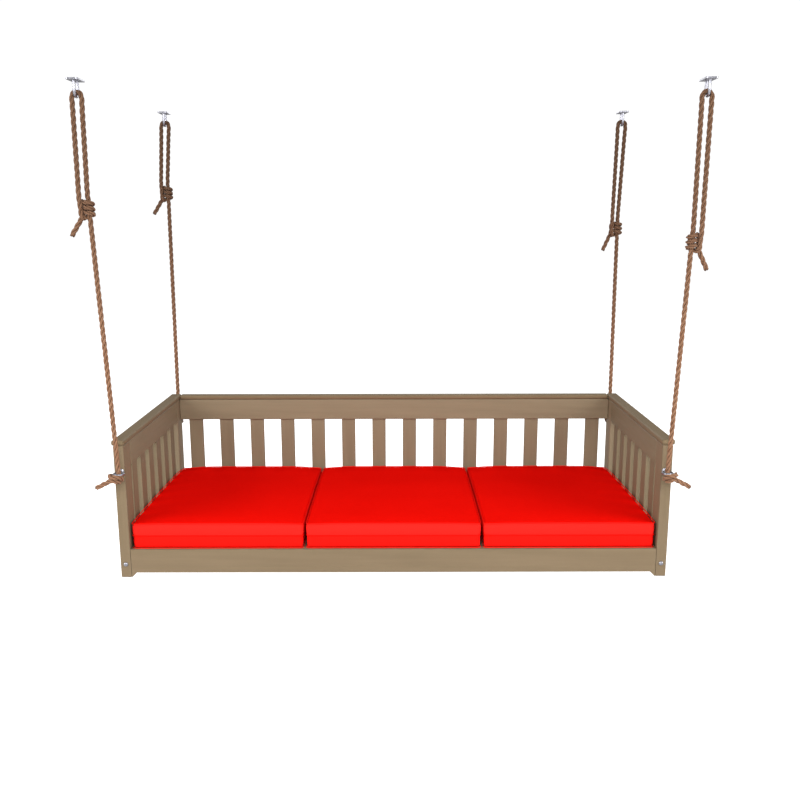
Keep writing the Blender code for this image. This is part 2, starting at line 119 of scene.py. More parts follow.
def centripetal(p0, p1, p2, p3, share):
    """A point on the centripetal Catmull-Rom curve between p1 and p2."""
    t1 = math.sqrt((p1 - p0).length)
    t2 = t1 + math.sqrt((p2 - p1).length)
    t3 = t2 + math.sqrt((p3 - p2).length)
    t = t1 + (t2 - t1) * share
    a1 = p0 * ((t1 - t) / t1) + p1 * (t / t1)
    a2 = p1 * ((t2 - t) / (t2 - t1)) + p2 * ((t - t1) / (t2 - t1))
    a3 = p2 * ((t3 - t) / (t3 - t2)) + p3 * ((t - t2) / (t3 - t2))
    b1 = a1 * ((t2 - t) / t2) + a2 * (t / t2)
    b2 = a2 * ((t3 - t) / (t3 - t1)) + a3 * ((t - t1) / (t3 - t1))
    return b1 * ((t2 - t) / (t2 - t1)) + b2 * ((t - t1) / (t2 - t1))


def smooth_line(knots, spacing):
    """Evenly spaced points on a smooth curve through the knots, as rows of an array."""
    ends = [knots[0] * 2 - knots[1], *knots, knots[-1] * 2 - knots[-2]]
    parts = 10
    fine = []
    for four in zip(ends, ends[1:], ends[2:], ends[3:]):
        fine += [centripetal(*four, step / parts) for step in range(parts)]
    return evenly_spaced(np.array([*fine, knots[-1]]), spacing, fewest=3)


def unit(rows):
    return rows / np.linalg.norm(rows, axis=-1, keepdims=True)


def walked_along(line):
    """Distance from the start of a line to each of its points."""
    return np.concatenate(([0], np.cumsum(np.linalg.norm(np.diff(line, axis=0), axis=1))))


def evenly_spaced(line, spacing, fewest=1):
    """Points at about the given spacing on a line of straight pieces."""
    walked = walked_along(line)
    places = np.linspace(0, walked[-1], max(fewest, round(walked[-1] / spacing)) + 1)
    return np.stack([np.interp(places, walked, line[:, axis]) for axis in range(3)], axis=1)


def round_section(sides, first, second):
    """A unit circle for each pair of directions in two arrays."""
    angles = np.linspace(0, 2 * math.pi, sides, endpoint=False)[None, :, None]
    return np.cos(angles) * first[:, None] + np.sin(angles) * second[:, None]


# ---- camera, light and stage --------------------------------------------------------------------
def add_camera():
    camera = link(bpy.data.objects.new("camera", bpy.data.cameras.new("camera")))
    camera.data.sensor_width = 36.0
    camera.data.lens = 45.845
    camera.data.shift_y = 0.0805
    pitch = math.radians(13.508)
    yaw = math.radians(-0.104)
    roll = math.radians(-0.087)
    turn = Matrix.Rotation(yaw, 4, "Z") @ Matrix.Rotation(math.pi / 2 - pitch, 4, "X")
    place = Matrix.Translation((0.0176, -4.0242, -0.4441))
    camera.matrix_world = place @ turn @ Matrix.Rotation(roll, 4, "Z")
    bpy.context.scene.camera = camera


def add_softbox(name, azimuth, elevation, power, size):
    """A square area light on a sphere round the seat. Azimuth 0 is the front, 90 the right."""
    target = Vector((0, 0, -1.2))
    distance = 5.0
    side = math.radians(azimuth)
    rise = math.radians(elevation)
    out = Vector((math.sin(side) * math.cos(rise), -math.cos(side) * math.cos(rise), math.sin(rise)))
    light = bpy.data.lights.new(name, "AREA")
    light.energy = power
    light.size = size
    lamp = link(bpy.data.objects.new(name, light))
    lamp.location = target + out * distance
    lamp.rotation_euler = (-out).to_track_quat("-Z", "Y").to_euler()
    lamp.visible_camera = False


def add_lights():
    add_softbox("key_left", -54, 17, 150, 2.6)
    add_softbox("key_right", 54, 17, 150, 2.6)
    add_softbox("front_fill", 0, 22, 125, 2.2)
    add_softbox("back_fill", 180, 25, 60, 3.0)


def add_world():
    """White where it is seen, and dimmer as a source of light."""
    world = bpy.data.worlds.new("studio")
    bpy.context.scene.world = world
    world.use_nodes = True
    tree = world.node_tree
    background = tree.nodes["Background"]
    seen = tree.nodes.new("ShaderNodeLightPath")
    strength = tree.nodes.new("ShaderNodeMapRange")
    strength.inputs["To Min"].default_value = 0.44
    strength.inputs["To Max"].default_value = 1.05
    tree.links.new(seen.outputs["Is Camera Ray"], strength.inputs["Value"])
    tree.links.new(strength.outputs["Result"], background.inputs["Strength"])
    background.inputs["Color"].default_value = (1, 1, 1, 1)


def add_floor():
    """A plain pale floor under the swing, which hangs clear of it."""
    below = FEET - 0.35
    reach = 14
    points = [(-reach, -reach, below), (reach, -reach, below), (reach, reach, below), (-reach, reach, below)]
    floor = mesh_object("floor", points, [(0, 1, 2, 3)], smooth=False)
    material, tree, shader = new_material("pale_floor")
    shader.inputs["Base Color"].default_value = (0.80, 0.80, 0.80, 1)
    shader.inputs["Roughness"].default_value = 0.9
    shader.inputs["Specular IOR Level"].default_value = 0.1
    seen = tree.nodes.new("ShaderNodeLightPath")
    glow = arithmetic(tree, "MULTIPLY", seen.outputs["Is Camera Ray"], 0.85)
    shader.inputs["Emission Color"].default_value = (1, 1, 1, 1)
    tree.links.new(glow, shader.inputs["Emission Strength"])
    floor.data.materials.append(material)


# ---- shader helpers -----------------------------------------------------------------------------
def new_material(name):
    material = bpy.data.materials.new(name)
    material.use_nodes = True
    tree = material.node_tree
    return material, tree, tree.nodes["Principled BSDF"]


def add_node(tree, kind, inputs=None, **settings):
    """A shader node; an input is given a value, or the output that feeds it."""
    node = tree.nodes.new(kind)
    for key, value in settings.items():
        setattr(node, key, value)
    for key, value in (inputs or {}).items():
        if isinstance(value, bpy.types.NodeSocket):
            tree.links.new(value, node.inputs[key])
        else:
            node.inputs[key].default_value = value
    return node


def arithmetic(tree, operation, first, second=0.0, third=0.0):
    inputs = {0: first, 1: second}
    if operation == "MULTIPLY_ADD":
        inputs[2] = third
    return add_node(tree, "ShaderNodeMath", inputs, operation=operation).outputs[0]


def remap(tree, value, from_low, from_high, to_low=0.0, to_high=1.0, smooth=False):
    node = add_node(tree, "ShaderNodeMapRange", {
        "Value": value, "From Min": from_low, "From Max": from_high, "To Min": to_low, "To Max": to_high})
    if smooth:
        node.interpolation_type = "SMOOTHSTEP"
    return node.outputs["Result"]


def noise(tree, vector, scale=1.0, detail=3.0, roughness=0.5):
    return add_node(tree, "ShaderNodeTexNoise", {
        "Vector": vector, "Scale": scale, "Detail": detail, "Roughness": roughness}).outputs["Fac"]


def stretched(tree, vector, scale, place=(0, 0, 0)):
    return add_node(tree, "ShaderNodeMapping", {
        "Vector": vector, "Scale": scale, "Location": place}).outputs["Vector"]


def blend_colours(tree, share, first, second):
    """Mix two colours, each a triple or an output."""
    node = add_node(tree, "ShaderNodeMix", data_type="RGBA")
    for index, value in ((0, share), (6, first), (7, second)):
        socket = node.inputs[index]
        if isinstance(value, bpy.types.NodeSocket):
            tree.links.new(value, socket)
        elif isinstance(value, tuple):
            socket.default_value = (*value, 1)
        else:
            socket.default_value = value
    return node.outputs[2]


def object_place(tree):
    return add_node(tree, "ShaderNodeTexCoord").outputs["Object"]


def split(tree, vector):
    return add_node(tree, "ShaderNodeSeparateXYZ", {0: vector}).outputs


def bump(tree, height, distance, strength):
    return add_node(tree, "ShaderNodeBump", {
        "Height": height, "Distance": distance, "Strength": strength}).outputs["Normal"]


# ---- wood ---------------------------------------------------------------------------------------
PAINT_DARK = (0.166, 0.121, 0.072)
PAINT_LIGHT = (0.204, 0.149, 0.090)
# painted light: the same taupe paint, made lighter on the back rail, rear posts and back boards to make up
# for the shade that falls on them
BACK_LIT_PAINT_DARK = (0.190, 0.153, 0.096)
BACK_LIT_PAINT_LIGHT = (0.236, 0.191, 0.121)
# painted light: the same taupe paint, lighter and less red on the arms, standing in for how light falls on
# their inner faces
ARM_LIT_PAINT_DARK = (0.169, 0.136, 0.082)
ARM_LIT_PAINT_LIGHT = (0.208, 0.168, 0.103)
# painted shade: the same taupe paint, darker on the caps for the dimmer light on their tops
CAP_SHADED_PAINT_DARK = (0.152, 0.110, 0.062)
CAP_SHADED_PAINT_LIGHT = (0.187, 0.136, 0.078)
PAINT_WORN = (0.25, 0.195, 0.135)
DECK_DARK = (0.13, 0.098, 0.062)
DECK_LIGHT = (0.18, 0.136, 0.087)


def edge_distance(tree, place, low, high):
    """Distance from a point on a board's faces to the nearest edge of that board."""
    from_low = add_node(tree, "ShaderNodeVectorMath", {0: place, 1: low}, operation="SUBTRACT").outputs[0]
    from_high = add_node(tree, "ShaderNodeVectorMath", {0: high, 1: place}, operation="SUBTRACT").outputs[0]
    nearest = add_node(tree, "ShaderNodeVectorMath", {
        0: from_low, 1: from_high}, operation="MINIMUM").outputs[0]
    x, y, z = split(tree, nearest)
    smallest = arithmetic(tree, "MINIMUM", arithmetic(tree, "MINIMUM", x, y), z)
    largest = arithmetic(tree, "MAXIMUM", arithmetic(tree, "MAXIMUM", x, y), z)
    total = arithmetic(tree, "ADD", arithmetic(tree, "ADD", x, y), z)
    return arithmetic(tree, "SUBTRACT", arithmetic(tree, "SUBTRACT", total, smallest), largest)


def grain_space(tree, place, along):
    """Coordinates with the grain along their third axis."""
    parts = split(tree, place)
    order = [axis for axis in range(3) if axis != along] + [along]
    return add_node(tree, "ShaderNodeCombineXYZ", {
        index: parts[axis] for index, axis in enumerate(order)}).outputs[0]


def slatted_grain_space(tree, place, split_height):
    """Grain along Y below a height and upright above it, for the arm panels."""
    parts = split(tree, place)
    upright = arithmetic(tree, "GREATER_THAN", parts[2], split_height)
    lying = arithmetic(tree, "SUBTRACT", 1.0, upright)

    def either(above, below):
        return arithmetic(tree, "ADD", arithmetic(tree, "MULTIPLY", above, upright),
                          arithmetic(tree, "MULTIPLY", below, lying))

    return add_node(tree, "ShaderNodeCombineXYZ", {
        0: parts[0], 1: either(parts[1], parts[2]), 2: either(parts[2], parts[1])}).outputs[0]


def wood_material(name, low, high, dice, colours, roughness, panel_split=None):
    """Painted board: streaks and figure along the grain, blotchy stain, eased edges, and a dark line round
    every edge that is partly dirt and partly painted shade where boards meet.
    """
    material, tree, shader = new_material(name)
    place = object_place(tree)
    size = [b - a for a, b in zip(low, high)]
    along = size.index(max(size))
    if panel_split is None:
        space = grain_space(tree, place, along)
    else:
        space = slatted_grain_space(tree, place, panel_split)
    shift = [dice.uniform(-5, 5) for _ in range(3)]
    streaks = noise(tree, stretched(tree, space, (70, 70, 2.4), shift), detail=4, roughness=0.6)
    fibres = noise(tree, stretched(tree, space, (430, 430, 11), shift), detail=3, roughness=0.6)
    blotches = noise(tree, stretched(tree, space, (9, 9, 3.5), shift), detail=3)
    figure = add_node(tree, "ShaderNodeTexWave", {
        "Vector": stretched(tree, space, (1, 1, 0.07), shift), "Scale": 13.0, "Distortion": 7.0,
        "Detail": 2.0, "Detail Scale": 1.3}, bands_direction="DIAGONAL").outputs["Fac"]
    mixed = arithmetic(tree, "MULTIPLY_ADD", remap(tree, streaks, 0.3, 0.7), 0.36, 0.02)
    mixed = arithmetic(tree, "MULTIPLY_ADD", remap(tree, fibres, 0.3, 0.7), 0.16, mixed)
    mixed = arithmetic(tree, "MULTIPLY_ADD", remap(tree, blotches, 0.3, 0.7), 0.30, mixed)
    mixed = arithmetic(tree, "MULTIPLY_ADD", figure, 0.16, mixed)
    tone = dice.uniform(0.96, 1.04)
    dark, light = [tuple(part * tone for part in colour) for colour in colours]
    colour = blend_colours(tree, mixed, dark, light)
    edge = edge_distance(tree, place, low, high)
    patchy = noise(tree, stretched(tree, space, (60, 60, 22), shift), detail=3)
    worn = arithmetic(tree, "MULTIPLY", remap(tree, edge, 0.0035, 0.001, smooth=True),
                      remap(tree, patchy, 0.50, 0.62))
    colour = blend_colours(tree, arithmetic(tree, "MULTIPLY", worn, 0.45), colour, PAINT_WORN)
    # a thin dark line at every edge of the board: partly dirt, partly painted shade where boards meet
    edge_dirt_and_shade = arithmetic(tree, "MULTIPLY", remap(tree, edge, 0.0022, 0.0004, smooth=True), 0.40)
    colour = blend_colours(tree, edge_dirt_and_shade, colour, tuple(part * 0.35 for part in dark))
    tree.links.new(colour, shader.inputs["Base Color"])
    gloss = remap(tree, streaks, 0.3, 0.7, roughness - 0.06, roughness + 0.08)
    tree.links.new(gloss, shader.inputs["Roughness"])
    shader.inputs["Specular IOR Level"].default_value = 0.12
    height = arithmetic(tree, "MULTIPLY_ADD", streaks, 0.6, fibres)
    tree.links.new(bump(tree, height, 0.0006, 0.5), shader.inputs["Normal"])
    return material


def soften(item, width):
    """Weld the imported corners, then round the board's chamfers."""
    weld = item.modifiers.new("weld", "WELD")
    weld.merge_threshold = 0.00002
    bevel = item.modifiers.new("soft_edges", "BEVEL")
    bevel.width = width
    bevel.segments = 2
    bevel.limit_method = "ANGLE"
    bevel.angle_limit = math.radians(25)
    bevel.harden_normals = True


def finish_node(name, material):
    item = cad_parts[name]
    item.data.materials.clear()
    item.data.materials.append(material)
    return item


def dress_wood():
    dice = random.Random(11)
    rail_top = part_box("rear_rail")[1][2]
    for name in sorted(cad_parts):
        family = name.split("_")[0]
        if name.startswith(("arm_top", "arm_panel")):
            # painted light: the arms get the lighter, less red copy of the paint
            colours, slot, roughness = (ARM_LIT_PAINT_DARK, ARM_LIT_PAINT_LIGHT), "painted_wood", 0.56
        elif name.startswith(("arm_cap", "back_cap")):
            # painted shade: the caps get the darker copy of the paint
            colours, slot, roughness = (CAP_SHADED_PAINT_DARK, CAP_SHADED_PAINT_LIGHT), "painted_wood", 0.62
        elif name.startswith(("back_top", "back_slat", "post_rear", "rear_rail")):
            # painted light: the back parts get the lighter copy of the paint
            colours, slot, roughness = (BACK_LIT_PAINT_DARK, BACK_LIT_PAINT_LIGHT), "painted_wood", 0.56
        elif family in ("post", "arm", "back", "front"):
            colours, slot, roughness = (PAINT_DARK, PAINT_LIGHT), "painted_wood", 0.56
        elif family in ("deck", "joist"):
            colours, slot, roughness = (DECK_DARK, DECK_LIGHT), "deck_wood", 0.7
        else:
            continue
        low, high = [tuple(corner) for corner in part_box(name)]
        split_height = rail_top if name.startswith("arm_panel") else None
        material = wood_material(f"{slot}_{name}", low, high, dice, colours, roughness, split_height)
        item = finish_node(name, material)
        soften(item, 0.0016 if "cap" in name else 0.0009)


# ---- metal --------------------------------------------------------------------------------------
def zinc_material():
    """Bright zinc plate: faint spangle, rubbed spots and fine scratches."""
    material, tree, shader = new_material("zinc")
    place = object_place(tree)
    spangle = add_node(tree, "ShaderNodeTexVoronoi", {"Vector": place, "Scale": 260.0}).outputs["Color"]
    shade = split(tree, spangle)[0]
    wear = noise(tree, place, 90.0, 4.0, 0.6)
    shade = remap(tree, shade, 0, 1, 0.25, 0.75)
    colour = blend_colours(tree, shade, (0.24, 0.24, 0.27), (0.40, 0.40, 0.44))
    colour = blend_colours(tree, remap(tree, wear, 0.58, 0.75, 0, 0.6), colour, (0.17, 0.165, 0.17))
    tree.links.new(colour, shader.inputs["Base Color"])
    shader.inputs["Metallic"].default_value = 1.0
    tree.links.new(remap(tree, wear, 0.3, 0.7, 0.24, 0.42), shader.inputs["Roughness"])
    scratches = noise(tree, stretched(tree, place, (900, 900, 120)), 1.0, 2.0)
    tree.links.new(bump(tree, scratches, 0.0001, 0.5), shader.inputs["Normal"])
    return material


def swept_parts(line, radii, sides, side_hint):
    """Rings and faces of a closed round bar along a line, with one radius for each point."""
    line = np.asarray(line, float)
    tangents = unit(np.gradient(line, axis=0))
    first = unit(np.cross(tangents, side_hint))
    circle = round_section(sides, first, np.cross(tangents, first))
    points = (line[:, None] + circle * np.asarray(radii)[:, None, None]).reshape(-1, 3)
    return points, tube_faces(len(line), sides)


def tube_faces(rings, sides, offset=0):
    """Quads between neighbouring rings, and a cap at each end."""
    faces = []
    for ring in range(rings - 1):
        start = offset + ring * sides
        for side in range(sides):
            after = (side + 1) % sides
            faces.append((start + side, start + after, start + sides + after, start + sides + side))
    faces.append(tuple(offset + side for side in reversed(range(sides))))
    faces.append(tuple(offset + (rings - 1) * sides + side for side in range(sides)))
    return faces


def join_parts(parts):
    points = np.concatenate([part[0] for part in parts])
    faces = []
    start = 0
    for part_points, part_faces in parts:
        faces += [tuple(start + index for index in face) for face in part_faces]
        start += len(part_points)
    return points, faces


def ring_parts(radius, wire, steps, sides):
    """A closed ring lying flat round the origin."""
    around = np.linspace(0, 2 * math.pi, steps, endpoint=False)[:, None]
    across = np.linspace(0, 2 * math.pi, sides, endpoint=False)[None, :]
    reach = radius + wire * np.cos(across)
    points = np.stack([np.cos(around) * reach, np.sin(around) * reach,
                       wire * np.sin(across) + 0 * around], axis=-1).reshape(-1, 3)
    faces = []
    for step in range(steps):
        for side in range(sides):
            here, there = step * sides, (step + 1) % steps * sides
            after = (side + 1) % sides
            faces.append((here + side, there + side, there + after, here + after))
    return points, faces


def outward_normals(item):
    bm = bmesh.new()
    bm.from_mesh(item.data)
    bmesh.ops.recalc_face_normals(bm, faces=bm.faces)
    bm.to_mesh(item.data)
    bm.free()


EYE_WIRE = 0.004
EYE_RING = 0.017
THREAD_PITCH = 0.0022


def finish_metal(item, node, body, metal, sharp_angle):
    """Give a metal piece its normals, material and slot, and let it stand for a node of the part."""
    outward_normals(item)
    item.data.set_sharp_from_angle(angle=math.radians(sharp_angle))
    item.data.materials.append(metal)
    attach(item, body)
    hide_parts(node)


def eye_screw_profile(face):
    """Neck, rounded shoulder and threaded shank, as places along the screw and their radii."""
    profile = [(EYE_RING, EYE_WIRE), (face - 0.0075, EYE_WIRE), (face - 0.0045, 0.0048),
               (face - 0.0032, 0.0062), (face - 0.0030, 0.0100), (face - 0.0024, 0.0109),
               (face - 0.0008, 0.0110), (face, 0.0105), (face + 0.0002, 0.0040)]
    along = face + 0.012
    while along < face + 0.052:
        profile += [(along, 0.0031), (along + THREAD_PITCH / 2, 0.0041)]
        along += THREAD_PITCH
    return profile + [(along + 0.004, 0.0022), (along + 0.007, 0.0004)]


def add_eye_screws(metal):
    for corner, (_, side_y, *_) in CORNERS.items():
        node = f"eye_screw_{corner}"
        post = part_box(f"post_{corner}")
        face = EYE_Y - (post[1][1] if side_y > 0 else -post[0][1]) - 0.0003
        profile = eye_screw_profile(face)
        line = [(0, along, 0) for along, _ in profile]
        shank = swept_parts(line, [radius for _, radius in profile], 24, (0, 0, 1))
        points, faces = join_parts([ring_parts(EYE_RING, EYE_WIRE, 72, 20), shank])
        screw = mesh_object(f"forged_{node}", points, faces)
        turn = Matrix.Rotation(math.pi if side_y > 0 else 0, 4, "Z")
        screw.data.transform(Matrix.Translation((middle_of(node).x, side_y * EYE_Y, EYE_Z)) @ turn)
        finish_metal(screw, node, "seat", metal, 50)


def add_carriage_bolts(metal):
    """Domed heads with a small flat rim, on shanks that run into the posts."""
    for side in ("left", "right"):
        node = f"carriage_bolt_{side}"
        low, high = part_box(node)
        head = 0.0085
        dome = 0.0045
        profile = [(0.0, 0.0003)]
        for step in range(1, 9):
            angle = math.pi / 2 * step / 8
            profile.append((dome * (1 - math.cos(angle)), head * math.sin(angle)))
        profile += [(dome + 0.0004, head), (dome + 0.0006, 0.0052), (dome + 0.004, 0.0046), (0.060, 0.004)]
        line = [(0, along, 0) for along, _ in profile]
        points, faces = swept_parts(line, [radius for _, radius in profile], 32, (0, 0, 1))
        bolt = mesh_object(f"domed_{node}", points, faces)
        bolt.data.transform(Matrix.Translation(((low[0] + high[0]) / 2, low[1], (low[2] + high[2]) / 2)))
        finish_metal(bolt, node, "seat", metal, 50)


def plate_object(name, size_x, size_y, thickness, corner, hole, hole_place):
    """A pressed plate with round corners and two screw holes, its top face at Z = 0."""
    curve = bpy.data.curves.new(name, "CURVE")
    curve.dimensions = "2D"
    curve.fill_mode = "BOTH"
    curve.bevel_depth = 0.0006
    curve.bevel_resolution = 2
    curve.extrude = thickness / 2 - 0.0006
    curve.offset = -0.0006
    outline = []
    for quarter in range(4):
        centre = Vector(((size_x / 2 - corner) * (1, -1, -1, 1)[quarter],
                         (size_y / 2 - corner) * (1, 1, -1, -1)[quarter]))
        for step in range(7):
            angle = math.pi / 2 * (quarter + step / 6)
            outline.append(centre + Vector((math.cos(angle), math.sin(angle))) * corner)
    loops = [outline]
    for side in (-1, 1):
        loops.append([Vector((hole * math.cos(math.pi * step / 12), side * hole_place
                              + hole * math.sin(math.pi * step / 12))) for step in range(24)])
    for loop in loops:
        spline = curve.splines.new("POLY")
        spline.points.add(len(loop) - 1)
        for target, point in zip(spline.points, loop):
            target.co = (point.x, point.y, 0, 1)
        spline.use_cyclic_u = True
    item = link(bpy.data.objects.new(name, curve))
    mesh = bpy.data.meshes.new_from_object(item.evaluated_get(bpy.context.evaluated_depsgraph_get()))
    bpy.data.objects.remove(item)
    mesh.transform(Matrix.Translation((0, 0, -thickness / 2)))
    return mesh


def add_hooks(metal):
    bend = 0.020
    drop = 0.055
    for corner, (_, side_y, *_) in CORNERS.items():
        node = f"ceiling_hook_{corner}"
        mesh = plate_object(f"plate_{corner}", 0.040, 0.088, 0.006, 0.006, 0.0035, 0.035)
        plate = ([vertex.co for vertex in mesh.vertices], [tuple(face.vertices) for face in mesh.polygons])
        line = [(0, -bend, -0.004), (0, -bend, -0.015)]
        for step in range(25):
            angle = math.pi * step / 24
            line.append((0, -bend * math.cos(angle), -drop + bend - bend * math.sin(angle)))
        line += [(0, bend, -0.015), (0, bend, -0.004)]
        staple = swept_parts(line, [0.005] * len(line), 20, (1, 0, 0))
        points, faces = join_parts([(np.array(plate[0]), plate[1]), staple])
        hook = mesh_object(f"pressed_{node}", points, faces)
        hook.data.transform(Matrix.Translation((middle_of(node).x, side_y * EYE_Y, 0)))
        finish_metal(hook, node, "hooks", metal, 40)


# ---- ropes --------------------------------------------------------------------------------------
def eye_of(corner):
    return Vector((middle_of(f"eye_screw_{corner}").x, CORNERS[corner][1] * EYE_Y, EYE_Z))


def rope_up(corner):
    """The eye, the top of the loop and the direction between them."""
    eye = eye_of(corner)
    top = Vector((middle_of(f"ceiling_hook_{corner}").x, CORNERS[corner][1] * EYE_Y, LOOP_TOP))
    return eye, top, (top - eye).normalized()


def straight_run(start, end):
    steps = round((end - start).length / ROPE_STEP)
    return [start.lerp(end, step / steps) for step in range(steps + 1)]


def rope_route(corner):
    """The rope's route: up over the hook, back down and round itself."""
    tail_side, lean = CORNERS[corner][3:]
    eye, top, up = rope_up(corner)
    behind = Vector((0, 1, 0))
    across = behind.cross(up) * tail_side
    middle = hitch_middle(corner)
    loop = top - up * LOOP_RADIUS

    def by_hitch(aside, back, rise):
        """A point beside the hitch's middle, with its height counted in turns."""
        return middle + across * aside + behind * back + up * rise * HITCH_PITCH

    route = straight_run(eye - up * ROPE_START, middle)
    route += straight_run(middle + up * ROPE_STEP, loop - across * LOOP_RADIUS)
    for step in range(1, 8):
        angle = math.pi * step / 8
        route.append(loop + up * LOOP_RADIUS * math.sin(angle) - across * LOOP_RADIUS * math.cos(angle))
    route += straight_run(loop + across * LOOP_RADIUS, by_hitch(FALL_ASIDE, -FALL_FRONT, 2.6))
    route += [by_hitch(FALL_ASIDE, -FALL_FRONT, rise) for rise in (1.4, 0.4, -0.6)]
    route += [by_hitch(0.93 * FALL_ASIDE, -0.7 * FALL_FRONT, -1.3),
              by_hitch(0.7 * FALL_ASIDE, 0.2 * FALL_FRONT, -1.7)]
    for step in range(-1, TURN_STEPS):
        share = step / HITCH_STEPS
        swing = 2 * math.pi * share
        aside, back = -HITCH_RADIUS * math.sin(swing), HITCH_RADIUS * math.cos(swing)
        route.append(by_hitch(aside, back, share - 1.25))
    away = (across * lean - up).normalized()
    crook = by_hitch(1.05 * FALL_ASIDE, TAIL_BACK, -1.3)
    route += [by_hitch(0.72 * FALL_ASIDE, 0.5 * TAIL_BACK, 1.55),
              by_hitch(0.92 * FALL_ASIDE, TAIL_BACK, 1.15)]
    route += [by_hitch(FALL_ASIDE, TAIL_BACK, rise) for rise in (0.6, -0.4)]
    route.append(crook)
    return route + [crook + away * TAIL * share for share in (0.25, 0.6, 1.0)]


def hitch_middle(corner):
    eye, _, up = rope_up(corner)
    return eye + up * ((FEET + CORNERS[corner][2] - EYE_Z) / up.z)


def knot_route(corner):
    """The rest of the rope, from inside its eye through the stopper knot to the cut end."""
    side_x, side_y, *_ = CORNERS[corner]
    eye, _, up = rope_up(corner)
    route = [eye + up * 0.006]
    for outward, forward, height in KNOT:
        route.append(eye + Vector((side_x * outward, side_y * forward, height)))
    return route


def laid_rope(name, line, slim_start=0, squeeze_round=None):
    """Three strands laid right-handed along a line of evenly spaced points, as one mesh."""
    tangents = unit(np.gradient(line, axis=0))
    normals = []
    normal = np.array((0.0, 1.0, 0.0))
    for tangent in tangents:
        normal = normal - tangent * normal.dot(tangent)
        normal = normal / np.linalg.norm(normal)
        normals.append(normal)
    normals = np.array(normals)
    sideways = np.cross(tangents, normals)
    walked = walked_along(line)
    scale = np.full(len(line), 1.0)
    if squeeze_round is not None:
        off = np.linalg.norm(line - squeeze_round, axis=1)
        scale -= (1 - SQUEEZE) * np.clip((HITCH_REACH - off) / 0.006, 0, 1) * (walked > walked[-1] / 2)
    scale[:slim_start] = 0.86
    scale[-1] = 0.90
    points = []
    faces = []
    for strand in range(STRANDS):
        turn = (2 * math.pi * (strand / STRANDS + walked / LAY))[:, None]
        spoke = np.cos(turn) * normals + np.sin(turn) * sideways
        centre = line + spoke * (STRAND_CENTRE * scale)[:, None]
        heading = unit(np.gradient(centre, axis=0))
        outer = unit(spoke - heading * (spoke * heading).sum(axis=1, keepdims=True))
        beside = np.cross(heading, outer)
        waves = np.sin(walked / LAY * 5.3 + strand * 2.1) * np.sin(walked / LAY * 1.7 + strand)
        radius = STRAND_RADIUS * scale * (1 + UNEVEN * waves)
        circle = round_section(STRAND_SIDES, outer, beside)
        faces += tube_faces(len(line), STRAND_SIDES, len(line) * STRAND_SIDES * strand)
        points.append((centre[:, None] + circle * radius[:, None, None]).reshape(-1, 3))
    item = mesh_object(name, np.concatenate(points), faces)
    mark_lay(item.data, walked)
    return item


def mark_lay(mesh, walked):
    """Give each point its angle round the strand, its place along it and how near it is to a cut end."""
    rings = np.tile(np.repeat(walked, STRAND_SIDES), STRANDS)
    around = np.tile(np.arange(STRAND_SIDES) / STRAND_SIDES * 2 * math.pi, len(walked) * STRANDS)
    values = {"outwards": np.cos(around), "aside": np.sin(around), "along": rings,
              "cut": np.clip(1 - (walked[-1] - rings) / CUT_LENGTH, 0, 1)}
    for name, value in values.items():
        layer = mesh.attributes.new(name, "FLOAT", "POINT")
        layer.data.foreach_set("value", value.astype(np.float32))


